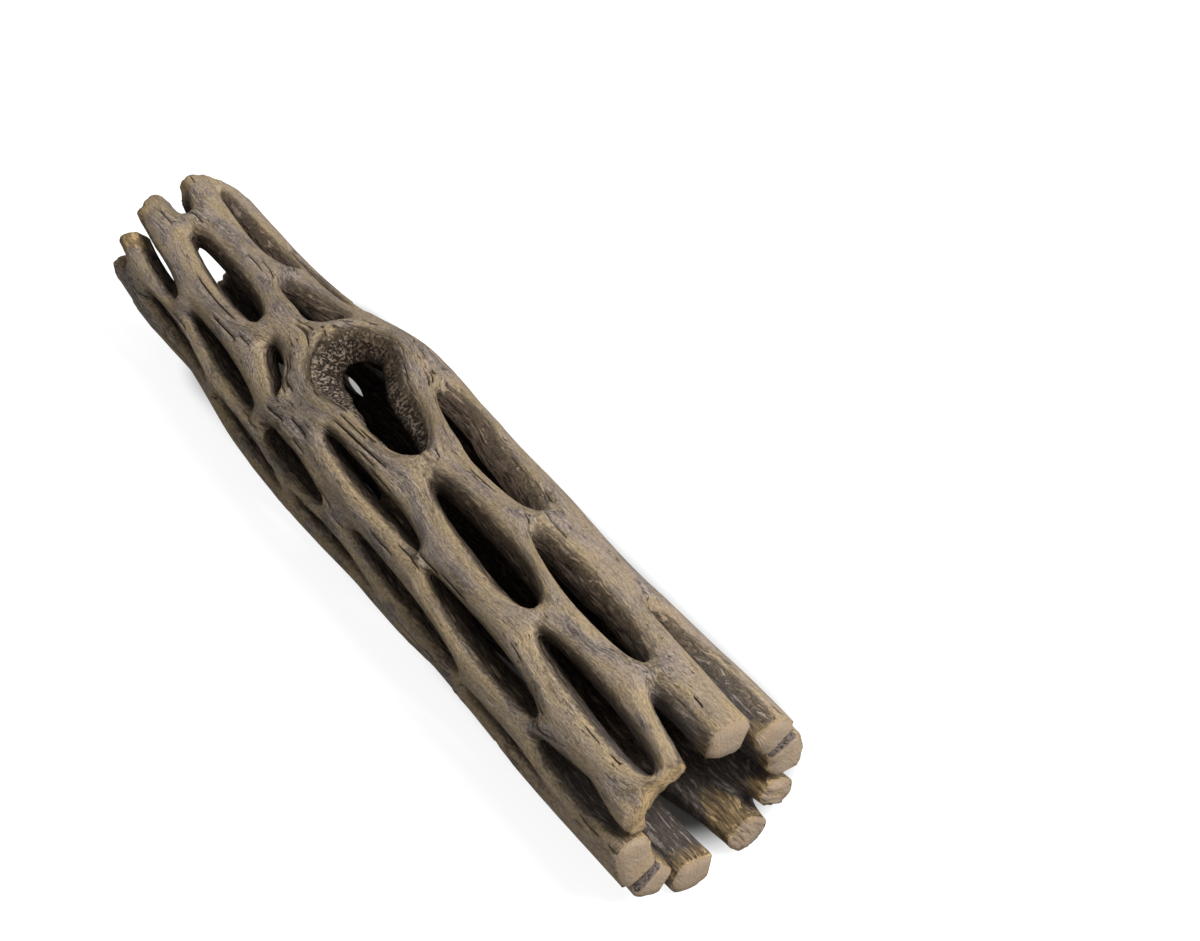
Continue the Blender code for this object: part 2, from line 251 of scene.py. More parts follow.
# %% Tube of straight fibres
def fibre_tube():
    """The blank tube, with each point's column and row kept in two layers."""
    bm = bmesh.new()
    bmesh.ops.create_cone(
        bm, cap_ends=False, segments=COLUMNS, radius1=RADIUS, radius2=RADIUS, depth=LENGTH
    )
    lengthwise = [edge for edge in bm.edges if edge.calc_length() > LENGTH / 2]
    bmesh.ops.subdivide_edges(bm, edges=lengthwise, cuts=ROWS - 1, use_grid_fill=True)
    column = bm.verts.layers.int.new("column")
    row = bm.verts.layers.int.new("row")
    for vert in bm.verts:
        turned = math.atan2(vert.co.y, vert.co.x) / (2 * math.pi)
        vert[column] = round(turned * COLUMNS) % COLUMNS
        vert[row] = round((vert.co.z / LENGTH + 0.5) * ROWS)
    return bm


def lean_at(along):
    """How far the leaning fibres have wound round the tube here."""
    return math.tan(math.radians(FIBRE_LEAN)) * (along - LENGTH / 2)


tube = fibre_tube()
print("blank tube of", len(tube.verts), "points")

# %% [markdown]
# A slit is a chain of edges down one fibre that is split, so its points come in pairs: one for the left side
# of the hole and one for the right. Each gets the place where it has to go, its hole and its side.

# %% Slits for the holes
Rim = namedtuple("Rim", "along around toward_along toward_around hole side")
FEWEST_ROWS = 2


def slit_tube(bm, holes):
    """Slits the tube once for each hole. Returns the rim's place for each point on a slit."""
    column = bm.verts.layers.int["column"]
    row = bm.verts.layers.int["row"]
    fibre = {(vert[column], vert[row]): vert for vert in bm.verts}
    cuts = []
    places = {}
    for number, hole in holes.items():
        start = hole.along - hole.length / 2
        stop = hole.along + hole.length / 2
        first = max(int(start > 0), round(start * ROWS / LENGTH))
        last = min(ROWS - int(stop < LENGTH), round(stop * ROWS / LENGTH))
        if last - first < FEWEST_ROWS:
            continue
        middle = math.radians(hole.around) * RADIUS - lean_at(hole.along)
        slit_column = round(middle * COLUMNS / AROUND) % COLUMNS
        sides = [hole_side(hole, side, last - first) for side in (-1, 1)]
        for at in range(first, last + 1):
            places[slit_column, at] = [Rim(*side[at - first], number, i) for i, side in enumerate(sides)]
        chain = [fibre[slit_column, at] for at in range(first, last + 1)]
        cuts += [bm.edges.get(pair) for pair in zip(chain, chain[1:])]
    bmesh.ops.split_edges(bm, edges=list(dict.fromkeys(cuts)))
    bm.verts.index_update()
    pinned = {}
    for vert in bm.verts:
        sides = places.get((vert[column], vert[row]))
        if sides:
            own = math.atan2(vert.co.y, vert.co.x)
            middles = [face.calc_center_median() for face in vert.link_faces]
            turned = sum(math.remainder(math.atan2(at.y, at.x) - own, 2 * math.pi) for at in middles)
            pinned[vert.index] = sides[1 if turned > 0 else 0]
            # The ends of a slit aren't split and belong to neither side.
            if len(vert.link_faces) == 4:
                pinned[vert.index] = pinned[vert.index]._replace(side=-1)
    return pinned


rims = slit_tube(tube, HOLES)
print(len(rims), "points lie on the rims of holes")

# %% [markdown]
# Now the slits open. The rims move to their outlines and every other point settles at the mean of its
# neighbours, as in a stretched net, so the fibres flow round the holes. Each round keeps part of the last
# step: the net comes to rest in a few hundred rounds, where a plain average needs thousands.

# %% Fibres settle round the holes
SETTLING_ROUNDS = 420
MOMENTUM = 0.92


def straight_places(bm):
    """Where each point lies along and around before the slits open."""
    column = bm.verts.layers.int["column"]
    row = bm.verts.layers.int["row"]
    places = np.array([(vert[row] * LENGTH / ROWS, vert[column] * AROUND / COLUMNS) for vert in bm.verts])
    places[:, 1] += [lean_at(along) for along in places[:, 0]]
    return places


def settled_sheet(bm, rims):
    """Lets the fibres settle between the opened slits. Returns each point's place, along and around."""
    row = bm.verts.layers.int["row"]
    straight = straight_places(bm)
    fixed = np.array(list(rims))
    held = np.array([(rim.along, rim.around) for rim in rims.values()]) - straight[fixed]
    held[:, 1] -= AROUND * np.round(held[:, 1] / AROUND)
    ends = np.array([vert[row] in (0, ROWS) for vert in bm.verts])
    pairs = np.array([[vert.index for vert in edge.verts] for edge in bm.edges])
    lengthwise = straight[pairs[:, 0], 0] != straight[pairs[:, 1], 0]
    shape = (LENGTH / ROWS) / (AROUND / COLUMNS)
    pull = np.where(lengthwise, 1 / shape, shape)
    count = len(straight)
    total = np.bincount(pairs.ravel(), np.repeat(pull, 2), count)
    moved = np.zeros_like(straight)
    moved[fixed] = held
    step = np.zeros_like(straight)
    for _ in range(SETTLING_ROUNDS):
        step *= MOMENTUM
        for axis in (0, 1):
            drawn = np.bincount(pairs[:, 0], pull * moved[pairs[:, 1], axis], count)
            drawn += np.bincount(pairs[:, 1], pull * moved[pairs[:, 0], axis], count)
            step[:, axis] += drawn / total - moved[:, axis]
        step[fixed] = 0
        step[ends, 0] = 0
        moved += step
    print("last settling step", round(float(np.abs(step).max()), 5), "mm")
    sheet = straight + moved
    sheet[:, 1] -= AROUND * np.round(sheet[:, 1] / AROUND)
    return sheet


sheet = settled_sheet(tube, rims)

# %% [markdown]
# Dry wood checks: it splits along its fibres. The points of one column sink, and the columns beside it move
# close, so the split is narrow and steep. The rest start at the tips of holes or anywhere by chance, and
# crowd round the knot, where the fibres had to bend most.

# %% Checks along the fibres
Check = namedtuple("Check", "along around length depth")
SEEN_CHECKS = (
    Check(30, -34, 14, 0.9),
    Check(37, -42, 8, 0.7),
    Check(50.5, -9, 9, 0.8),
    Check(64.5, -48.5, 5, 0.7),
    Check(76.5, -30.2, 13, 1),
    Check(58.5, 38.5, 6, 0.9),
    Check(62.5, 46, 7, 0.9),
    Check(66.8, 18.5, 7.5, 1),
    Check(71, 23, 5, 0.7),
    Check(66, 33, 9, 0.8),
    Check(97, 46, 17, 1.3),
    Check(103, 50.5, 15, 1.1),
    Check(99, 55, 14, 1),
    Check(104, 32, 12, 0.8),
    Check(112, 38, 10, 0.7),
)
TIP_CHECK_SHARE = 0.3
TIP_CHECK_SIZES = ((2.5, 7.5), (0.3, 0.7))
TIP_CHECK_GAP = 0.8
LOOSE_CHECKS = 150
LOOSE_CHECK_SIZES = ((1.5, 7.0), (0.15, 0.5))
KNOT_CHECKS = 60
KNOT_CHECK_SIZES = ((2.0, 5.5), (0.3, 0.8))
KNOT_CHECK_SPREAD = (11, 40)
CHECK_HALF_WIDTH = 0.15


def drawn(chance, spans):
    """One chance value from each span."""
    return [chance.uniform(*span) for span in spans]


def all_checks(sheet):
    """The seen checks, then those at the tips of holes, anywhere and round the knot."""
    chance = random.Random(SEED + 1)
    checks = list(SEEN_CHECKS)
    for number in sorted(HOLES):
        hole = HOLES[number]
        lean = math.radians(hole.lean)
        for end in (-1, 1):
            length, depth = drawn(chance, TIP_CHECK_SIZES)
            reach = end * (hole.length / 2 + length / 2 + TIP_CHECK_GAP)
            around = hole.around + math.degrees(reach * math.sin(lean) / RADIUS)
            if chance.random() < TIP_CHECK_SHARE:
                checks.append(Check(hole.along + reach, around, length, depth))
    for _ in range(LOOSE_CHECKS):
        at = sheet[chance.randrange(len(sheet))]
        checks.append(Check(at[0], math.degrees(at[1] / RADIUS), *drawn(chance, LOOSE_CHECK_SIZES)))
    for _ in range(KNOT_CHECKS):
        along = knot.along + chance.gauss(0, KNOT_CHECK_SPREAD[0])
        around = knot.around + chance.gauss(0, KNOT_CHECK_SPREAD[1])
        checks.append(Check(along, around, *drawn(chance, KNOT_CHECK_SIZES)))
    return checks


def open_checks(bm, sheet, rims):
    """Draws the fibres beside each check together. Returns how deep and how open each point is."""
    column = bm.verts.layers.int["column"]
    row = bm.verts.layers.int["row"]
    place = [(vert[column], vert[row]) for vert in bm.verts]
    whole = {at: index for index, at in enumerate(place) if index not in rims}
    tree = KDTree(len(sheet))
    for index, (along, around) in enumerate(sheet):
        tree.insert((along, around, 0), index)
    tree.balance()
    sunk = np.zeros(len(sheet))
    opened = np.zeros(len(sheet))
    rows_used = 0
    for check in all_checks(sheet):
        around = math.radians(wrapped(check.around)) * RADIUS
        nearest_column, nearest_row = place[tree.find((check.along, around, 0))[1]]
        half = check.length * ROWS / LENGTH / 2
        for at in range(math.ceil(nearest_row - half), math.floor(nearest_row + half) + 1):
            trio = [whole.get(((nearest_column + beside) % COLUMNS, at)) for beside in (0, -1, 1)]
            if None in trio or not 1 < at < ROWS or opened[trio].any():
                continue
            middle, *beside = trio
            taper = math.sqrt(max(0.0, 1 - ((at - nearest_row) / (half + 0.5)) ** 2))
            sunk[middle] = check.depth * taper
            opened[middle] = taper
            for index in beside:
                away = sheet[index] - sheet[middle]
                away[1] -= AROUND * round(away[1] / AROUND)
                narrow = 1 - taper * (1 - CHECK_HALF_WIDTH / max(abs(away[1]), CHECK_HALF_WIDTH))
                sheet[index] = sheet[middle] + away * (1.0, narrow)
            rows_used += 1
    print(rows_used, "points lie in checks")
    return sunk, opened


sunk, opened = open_checks(tube, sheet, rims)

# %% [markdown]
# The strands are rounded: how far a point lies from the nearest rim gives the quarter round, outside and
# inside. The right rims, which the weather reached, are softer. The branch swells and thins, most of all
# beside the knot, which has a raised lip. The low ridges follow the fibres round the holes, because they are
# read from the straight tube.

# %% Outside and inside of the wood
Hump = namedtuple("Hump", "along angle rise reach spread")
SWELLINGS = (
    Hump(24, 58, -1, 22, 80),
    Hump(24, -118, -2.1, 19, 50),
    Hump(-4, -114, -2.4, 17, 45),
    Hump(61, 35, 2.4, 13, 48),
    Hump(82, 50, 1.2, 25, 40),
    Hump(56, -105, 0.7, 16, 40),
)
KNOT_LIP = 1.1
KNOT_LIP_REACH = 3.2
KNOT_RIM_SHARE = 0.56
THIN_PLACES = (Hump(150.0, -48.0, 2.2, 14.0, 26.0),)
UNEVENNESS = 0.3
UNEVENNESS_SPAN = 16.0
OUTER_DROP = 1.6
INNER_DROP = 1.1
SHOULDER = 2.7
SOFT_DROP = 0.6
SOFT_SHOULDER = 0.9
RIDGES = ((0.16, 22.0, 2.6), (0.09, 9.0, 1.2))
INNER_RIDGE = 2.2


def nearest_rim(sheet, rim_points):
    """How far each point lies from the nearest of these points, and which one that is."""
    tree = KDTree(3 * len(rim_points))
    for index in rim_points:
        for lap in (-AROUND, 0, AROUND):
            tree.insert((sheet[index, 0], sheet[index, 1] + lap, 0), index)
    tree.balance()
    found = [tree.find((along, around, 0)) for along, around in sheet]
    return np.array([away for _, _, away in found]), [index for _, index, _ in found]


def humps(places, along, around):
    """How high a few soft humps are here together."""
    height = 0.0
    for hump in places:
        down = (along - hump.along) / hump.reach
        aside = wrapped(math.degrees(around / RADIUS) - hump.angle) / hump.spread
        height += hump.rise * math.exp(-down * down - aside * aside)
    return height


def swelling(along, around):
    """How far the wood stands out here from the plain tube."""
    at = Vector((along, RADIUS * math.cos(around / RADIUS), RADIUS * math.sin(around / RADIUS)))
    return humps(SWELLINGS, along, around) + UNEVENNESS * noise.noise(at / UNEVENNESS_SPAN)


def shoulder(distance, drop, reach):
    """The quarter round that a strand has beside a hole."""
    left = 1 - np.clip(distance / reach, 0, 1)
    return drop * (1 - np.sqrt(1 - left * left))


def soft_rim(rim):
    """Whether a rim rolls over softly: those on the right, and the far part of the knot's."""
    return rim.side == 1 or (rim.hole == KNOT and rim.along < knot.along)


def ridge(along, across, up):
    """Low ridges along the fibres, from a place on the straight tube."""
    return sum(
        height * noise.noise(Vector((along / span, across / width, up / width)))
        for height, span, width in RIDGES
    )


row = tube.verts.layers.int["row"]
straight = straight_places(tube)
broken_rim = {vert.index for vert in tube.verts if vert[row] == 0}
from_knot = np.hypot(sheet[:, 0] - knot.along, sheet[:, 1] - math.radians(knot.around) * RADIUS)
knot_rim = [index for index in rims if from_knot[index] < knot.length * KNOT_RIM_SHARE]
to_rim, nearest = nearest_rim(sheet, sorted(broken_rim.union(rims)))
to_knot, _ = nearest_rim(sheet, knot_rim)
to_knot_wall, _ = nearest_rim(sheet, [index for index, rim in rims.items() if rim.hole == KNOT])
soft = np.array([float(index in rims and soft_rim(rims[index])) for index in nearest])
to_hole, _ = nearest_rim(sheet, sorted(rims))
crown = np.array([RADIUS + swelling(along, around) for along, around in sheet])
crown += KNOT_LIP * np.exp(-((to_knot / KNOT_LIP_REACH) ** 2))
angles = straight[:, 1] / RADIUS
ridges = np.array([
    ridge(along, RADIUS * math.sin(angle), RADIUS * math.cos(angle))
    for along, angle in zip(straight[:, 0], angles)
])
rounded = shoulder(to_rim, OUTER_DROP + SOFT_DROP * soft, SHOULDER + SOFT_SHOULDER * soft)
outer = crown - rounded + ridges - sunk
thinned = np.array([humps(THIN_PLACES, along, around) for along, around in sheet])
inner = crown - WALL + thinned + shoulder(to_rim, INNER_DROP, SHOULDER) - INNER_RIDGE * ridges
print("outside radius from", round(outer.min(), 1), "to", round(outer.max(), 1), "mm")

# %% [markdown]
# One extrusion that keeps the first faces gives the sheet its thickness, with walls along every rim. Only
# the edges that cross the walls are subdivided. Two layers say over which point of the sheet each point
# stands and how deep it lies, from 0 outside to 1 inside. The operator blends them for the new rings.

# %% Thickness and walls
def thicken(bm):
    """Makes the inner face and the rings of the walls, and keeps each point's source and depth."""
    source = bm.verts.layers.float.new("source")
    depth = bm.verts.layers.float.new("depth")
    for vert in bm.verts:
        vert[source] = vert.index
    raised = bmesh.ops.extrude_face_region(bm, geom=list(bm.faces), use_keep_orig=True)["geom"]
    inside = {item for item in raised if isinstance(item, bmesh.types.BMVert)}
    for vert in inside:
        vert[depth] = 1.0
    crossing = [edge for edge in bm.edges if len(inside.intersection(edge.verts)) == 1]
    bmesh.ops.subdivide_edges(bm, edges=crossing, cuts=WALL_RINGS - 1, use_grid_fill=True)
    source_of = np.array([round(vert[source]) for vert in bm.verts])
    depth_of = np.array([vert[depth] for vert in bm.verts])
    return source_of, depth_of


source_of, depth_of = thicken(tube)
print("thick wood of", len(tube.faces), "faces; rings at", sorted(set(np.round(depth_of, 2))))

# %% [markdown]
# Two clefts in the sawn end are closed and only dent it. One strand there is worn lumpy and thin. On two
# strands near the saw and on one tip the grey skin is gone. Each mark has its place and its spread in
# degrees, and fresh wood also its place and reach along.

# %% Marks of saw and weather
CLEFTS = ((64.0, 11.0), (-122.0, 13.0))
CLEFT_BACK = 0.6
CLEFT_SUNK = 0.7
CLEFT_REACH = 7.0
WORN_STRAND = (-48.0, 30.0)
STRAND_EDGE = 1.0
STRAND_WORN = 0.4
STRAND_LUMPS = 1.5
STRAND_THINNED = 0.5
STRAND_REACH = 5.0
FRESH_PLACES = ((1.5, -45.0, 4.5, 26.0), (151.0, 148.0, 11.0, 19.0), (151.0, 114.0, 6.0, 14.0))
SPLINTERS = 1.3


def cleft_at(angle):
    """How deep in a closed cleft this place is, from 0 beside it to 1 in its middle."""
    asides = [wrapped(math.degrees(angle) - middle) * 2 / width for middle, width in CLEFTS]
    return max(max(0.0, 1 - aside * aside) for aside in asides)


def worn_at(angle):
    """How much the weather has worn the one strand here, from 0 to 1."""
    middle, spread = WORN_STRAND
    return max(0.0, 1 - (wrapped(math.degrees(angle) - middle) / spread) ** 4)


def fresh_at(along, angle):
    """How surely the grey skin is broken off here, from 0 to 1."""
    fresh = 0.0
    for middle, bearing, reach, spread in FRESH_PLACES:
        down = (along - middle) / reach
        aside = wrapped(math.degrees(angle) - bearing) / spread
        fresh = max(fresh, 1 - down * down - aside * aside)
    return fresh


print(len(CLEFTS), "clefts,", len(FRESH_PLACES), "places with fresh wood")

# %% [markdown]
# Every point now gets its place. The rings of a wall crowd near the rims, which keeps the edges crisp. The
# walls slope into the hole, most of all the knot's, which is a funnel at its far end. The broken strands are
# of unlike length, with round tips. The sawn end is flat, with worn edges.

# %% Places of the points
RING_DEPTHS = (0.0, 0.12, 0.38, 0.66, 0.9, 1.0)
SAWN_RING_DEPTHS = (0.0, 0.13, 0.37, 0.63, 0.87, 1.0)
WALL_SLOPE = {-1: 0.2, 0: 0.1, 1: 0.34}
KNOT_SLOPE = {-1: (0.6, 0.2), 0: (0.6, 0.0), 1: (0.25, 0.55)}
KNOT_TURNS = (0.3, 0.6)
KNOT_FUNNEL = 3.2
KNOT_FUNNEL_SHARE = 0.35
WALL_BELLY = 0.1
WALL_ROUGHNESS = 0.34
WALL_ROUGHNESS_LIMIT = 0.25
WALL_THREAD = (4.0, 0.9)
WALL_LAYERS = 3.7
SAWN_GRIT = (1.1, 1.1, 7.0)
SPLINTER_MARKS = (0.7, 1.6, 9.0)
LUMP_MARKS = (3.4, 3.0, 5.0)
RAGGED_MARKS = (1.3, 1 / 3, 4.0)
SAWN_BEVEL = 0.3
SAWN_EDGE = 1.3
SAWN_WORN = 0.55
SAWN_ROUGHNESS = 0.16
SAWN_BACK = 0.5
BROKEN_AT = (-180.0, -105.0, -72.0, -47.0, -22.0, 22.0, 70.0, 130.0)
BROKEN_BACK = (0.5, 0.5, -2.2, 1.0, -0.5, -3.6, 0.4, -1.0)
RAGGEDNESS = 0.7
TIP_ROUND = 0.9
TIP_CORNER = 2.2
TIP_CORNER_REACH = 2.2
END_REACH = 12.0
CLOSE = 0.01


def uneven(first, second, marks):
    """A smooth chance value between -1 and 1. The marks give two sizes and a layer of the noise."""
    return noise.noise(Vector((first / marks[0], second / marks[1], marks[2])))


def wall_slope(rim):
    """How far a wall slopes towards the middle line of its hole, and how far down the branch."""
    if rim.hole != KNOT:
        return WALL_SLOPE[rim.side], 0.0
    part = (rim.along - knot.along) / knot.length + 0.5
    inwards = np.interp(part, KNOT_TURNS, KNOT_SLOPE[rim.side])
    return inwards, KNOT_FUNNEL * max(0.0, 1 - part / KNOT_FUNNEL_SHARE)


def wall_shift(rim, along, down):
    """How far a point of a wall moves along and around, into its hole."""
    inwards, funnel = wall_slope(rim)
    slope = inwards * down + WALL_BELLY * math.sin(math.pi * down)
    if down < 1:
        thread = uneven(along, down * WALL, (*WALL_THREAD, rim.hole * WALL_LAYERS + rim.side))
        reach = math.hypot(rim.toward_along, rim.toward_around)
        slope += thread * min(WALL_ROUGHNESS_LIMIT, WALL_ROUGHNESS / max(reach, CLOSE))
    return slope * rim.toward_along + funnel * down, slope * rim.toward_around


def place_points(bm, sheet, outer, inner, source_of, depth_of, rims):
    """Moves each point to its place on the branch. Returns the depths after the rings are drawn together."""
    row = bm.verts.layers.int["row"]
    even = np.linspace(0, 1, WALL_RINGS + 1)
    deep = np.interp(depth_of, even, RING_DEPTHS)
    for index, vert in enumerate(bm.verts):
        along, around = sheet[source_of[index]]
        source = int(source_of[index])
        rim = rims.get(source)
        sawn = vert[row] == ROWS
        broken = vert[row] == 0
        if sawn:
            deep[index] = np.interp(depth_of[index], even, SAWN_RING_DEPTHS)
        down = deep[index]
        radius = outer[source] + (inner[source] - outer[source]) * down
        if rim and down > 0:
            shift_along, shift_around = wall_shift(rim, along, down)
            if not (sawn or broken):
                along += shift_along
            around += shift_around
        elif broken and 0 < down < 1:
            along -= TIP_ROUND * math.sin(math.pi * down)
        angle = around / RADIUS
        weather = worn_at(angle) * max(0.0, 1 - (LENGTH - along) / STRAND_REACH) ** 2
        worn = 1.0
        if sawn:
            inset = min(down * WALL, (1 - down) * WALL, to_rim[source])
            worn = 1 - min(1.0, inset / (SAWN_EDGE + STRAND_EDGE * weather))
            worn = 1 - math.sqrt(1 - worn * worn)
            along -= SAWN_WORN * worn
            along -= SAWN_ROUGHNESS * abs(uneven(around, radius, SAWN_GRIT))
            along -= SPLINTERS * abs(uneven(around, radius, SPLINTER_MARKS)) * fresh_at(LENGTH, angle)
            radius += SAWN_BEVEL * (float(down == 1) - float(down == 0))
        if weather:
            lump = abs(uneven(around, radius, LUMP_MARKS))
            along -= weather * (STRAND_WORN * worn + STRAND_LUMPS * lump)
            radius += weather * STRAND_THINNED * (2 * down - 1)
        to_cleft = max(0.0, 1 - (LENGTH - along) / CLEFT_REACH) ** 2 * cleft_at(angle)
        along -= CLEFT_BACK * to_cleft
        radius -= CLEFT_SUNK * to_cleft * (1 - down)
        to_broken = max(0.0, 1 - along / END_REACH)
        to_sawn = max(0.0, 1 - (LENGTH - along) / END_REACH)
        back = np.interp(math.degrees(angle), BROKEN_AT, BROKEN_BACK, period=360)
        back += RAGGEDNESS * uneven(around, down, RAGGED_MARKS)
        back += TIP_CORNER * max(0.0, 1 - to_hole[source] / TIP_CORNER_REACH) ** 2
        along += back * to_broken**2 - SAWN_BACK * (1 - math.cos(angle)) / 2 * to_sawn**2
        vert.co = (
            along - ORIGIN_ALONG,
            AXIS_SIDE + radius * math.sin(angle),
            max(0.0, AXIS_HEIGHT + radius * math.cos(angle)),
        )
    return deep


deep = place_points(tube, sheet, outer, inner, source_of, depth_of, rims)
bmesh.ops.recalc_face_normals(tube, faces=tube.faces)
bmesh.ops.scale(tube, verts=tube.verts, vec=(MM, MM, MM))
for axis, name in enumerate("xyz"):
    found = [vert.co[axis] for vert in tube.verts]
    print(name, "from", round(min(found), 5), "to", round(max(found), 5), "m")

# %% [markdown]
# With the shape goes what the finishes have to know about each point: its place on the straight tube, so
# that grain follows the fibres, its distance from the nearest rim and from the knot's, its depth, how far a
# check is open, and whether it is on a soft rim, in a cleft or on fresh wood. The sawn faces get the second
# finish, but not those of the worn strand.

# %% Mesh and its attributes
def wood_mesh(bm, deep):
    """The finished mesh with the attributes that the finishes read."""
    mesh = bpy.data.meshes.new("skeleton_wood")
    bm.to_mesh(mesh)
    radius = RADIUS - WALL * deep
    angle = straight[source_of, 1] / RADIUS
    grain = np.stack((straight[source_of, 0], radius * np.sin(angle), radius * np.cos(angle)), axis=1)
    on_outside = depth_of < CLOSE
    facts = {
        "edge": np.where(on_outside | (depth_of > 1 - CLOSE), to_rim[source_of], 0.0),
        "depth": deep,
        "check": np.where(on_outside, opened[source_of], 0.0),
        "knot": to_knot_wall[source_of],
        "soft": soft[source_of],
        "cleft": np.array([cleft_at(angle) for angle in sheet[source_of, 1] / RADIUS]),
        "fresh": np.array([fresh_at(along, around / RADIUS) for along, around in sheet[source_of]]),
    }
    attribute = mesh.attributes.new("grain", "FLOAT_VECTOR", "POINT")
    attribute.data.foreach_set("vector", grain.astype(np.float32).ravel())
    for name, values in facts.items():
        attribute = mesh.attributes.new(name, "FLOAT", "POINT")
        attribute.data.foreach_set("value", values.astype(np.float32))
    return mesh


row = tube.verts.layers.int["row"]
end_faces = [face.index for face in tube.faces if {vert[row] for vert in face.verts} == {ROWS}]
mesh = wood_mesh(tube, deep)
tube.free()
mesh.shade_smooth()
for index in end_faces:
    middle = mesh.polygons[index].center / MM
    if not worn_at(math.atan2(middle.y - AXIS_SIDE, middle.z - AXIS_HEIGHT)):
        mesh.polygons[index].material_index = 1
skeleton = bpy.data.objects.new("skeleton_wood", mesh)
bpy.context.scene.collection.objects.link(skeleton)
print(len(mesh.polygons), "faces,", len(end_faces), "of them sawn")

# %% [markdown]
# The finishes are networks of shader nodes. Small helpers keep them readable: most of them add one node,
# fill or link its inputs and give back its output.

# %% Helpers for finishes
WHITE = (1, 1, 1, 1)


def fill(tree, node, inputs):
    """Fills inputs with values, or links them to another node's outputs."""
    for name, value in inputs.items():
        if isinstance(value, bpy.types.NodeSocket):
            tree.links.new(value, node.inputs[name])
        else:
            node.inputs[name].default_value = value


def add(tree, kind, inputs=None, **settings):
    """Adds a node with its settings and its inputs."""
    node = tree.nodes.new("ShaderNode" + kind)
    for name, value in settings.items():
        setattr(node, name, value)
    fill(tree, node, inputs or {})
    return node


def mixed(tree, factor, first, second, blend="MIX"):
    """The colour between two others."""
    inputs = {0: factor, 6: first, 7: second}
    return add(tree, "Mix", inputs, data_type="RGBA", blend_type=blend).outputs[2]


def between(tree, factor, first, second):
    """The value between two others."""
    return add(tree, "Mix", {0: factor, 2: first, 3: second}, data_type="FLOAT").outputs[0]


def ranged(tree, value, low, high, to_low=0.0, to_high=1.0):
    """A value stretched smoothly from one range to another."""
    inputs = {"Value": value, "From Min": low, "From Max": high, "To Min": to_low, "To Max": to_high}
    return add(tree, "MapRange", inputs, interpolation_type="SMOOTHSTEP").outputs["Result"]


def maths(tree, operation, first, second=0.0, third=0.0):
    """One sum."""
    return add(tree, "Math", {0: first, 1: second, 2: third}, operation=operation).outputs[0]


def times(tree, first, second):
    """The product of two values."""
    return maths(tree, "MULTIPLY", first, second)


def larger(tree, first, second):
    """The larger of two values."""
    return maths(tree, "MAXIMUM", first, second)


def without(tree, value):
    """What a mask leaves free."""
    return maths(tree, "SUBTRACT", 1.0, value)


def fact(tree, name, output="Fac"):
    """What the mesh says about each point."""
    return add(tree, "Attribute", attribute_name=name).outputs[output]


def new_finish(name):
    """A new material, with its tree of nodes and its shader."""
    finish = bpy.data.materials.new(name)
    finish.use_nodes = True
    return finish, finish.node_tree, finish.node_tree.nodes["Principled BSDF"]


# %% [markdown]
# Grain is the one effect that both woods share, so it is a node group. It bends the fibres a little, then
# reads a noise that is stretched along them. It puts out that noise as a height, and thin lines where the
# noise crosses its middle.

# %% Grain as a node group
BEND_SCALE = 0.16
BEND_DETAIL = 2.0
MARK_DETAIL = 5.0
MARK_ROUGHNESS = 0.62


def grain_group():
    """Marks along the fibres: a height and thin lines."""
    tree = bpy.data.node_groups.new("grain along the fibres", "ShaderNodeTree")
    tree.interface.new_socket(name="Place", in_out="INPUT", socket_type="NodeSocketVector")
    for name in ("Pitch", "Length", "Waviness", "Line Width"):
        tree.interface.new_socket(name=name, in_out="INPUT", socket_type="NodeSocketFloat")
    for name in ("Height", "Lines"):
        tree.interface.new_socket(name=name, in_out="OUTPUT", socket_type="NodeSocketFloat")
    given = tree.nodes.new("NodeGroupInput").outputs
    result = tree.nodes.new("NodeGroupOutput").inputs
    place = given["Place"]
    bend = add(tree, "TexNoise", {"Vector": place, "Scale": BEND_SCALE, "Detail": BEND_DETAIL})
    centred = add(tree, "VectorMath", {0: bend.outputs["Color"], 1: (0.5, 0.5, 0.5)}, operation="SUBTRACT")
    bent = add(tree, "VectorMath", {0: centred.outputs[0], "Scale": given["Waviness"]}, operation="SCALE")
    moved = add(tree, "VectorMath", {0: place, 1: bent.outputs[0]}, operation="ADD")
    across = maths(tree, "DIVIDE", 1.0, given["Pitch"])
    along = maths(tree, "DIVIDE", across, given["Length"])
    squeeze = add(tree, "CombineXYZ", {"X": along, "Y": across, "Z": across})
    squeezed = add(tree, "VectorMath", {0: moved.outputs[0], 1: squeeze.outputs[0]}, operation="MULTIPLY")
    marks = {"Vector": squeezed.outputs[0], "Scale": 1.0, "Detail": MARK_DETAIL, "Roughness": MARK_ROUGHNESS}
    height = add(tree, "TexNoise", marks).outputs["Fac"]
    off_middle = maths(tree, "ABSOLUTE", maths(tree, "SUBTRACT", height, 0.5))
    line = {"Value": off_middle, "From Max": given["Line Width"], "To Min": 1.0, "To Max": 0.0}
    tree.links.new(height, result["Height"])
    tree.links.new(add(tree, "MapRange", line).outputs["Result"], result["Lines"])
    return tree


GRAIN = grain_group()


def grain(tree, place, pitch, length, waviness=1.0, line_width=0.03):
    """The grain group, placed in a finish with its own values."""
    values = {"Place": place, "Pitch": pitch, "Length": length, "Waviness": waviness}
    node = add(tree, "Group", {**values, "Line Width": line_width}, node_tree=GRAIN)
    return node.outputs["Height"], node.outputs["Lines"]


print("grain takes", [socket.name for socket in GRAIN.interface.items_tree])

# %% [markdown]
# The outside has lain in the sun. It is bleached to a grey tan with a sandy grain, and ochre blotches where
# younger wood shows along the holes. Short dark dashes lie along the fibres and crowd near the knot.

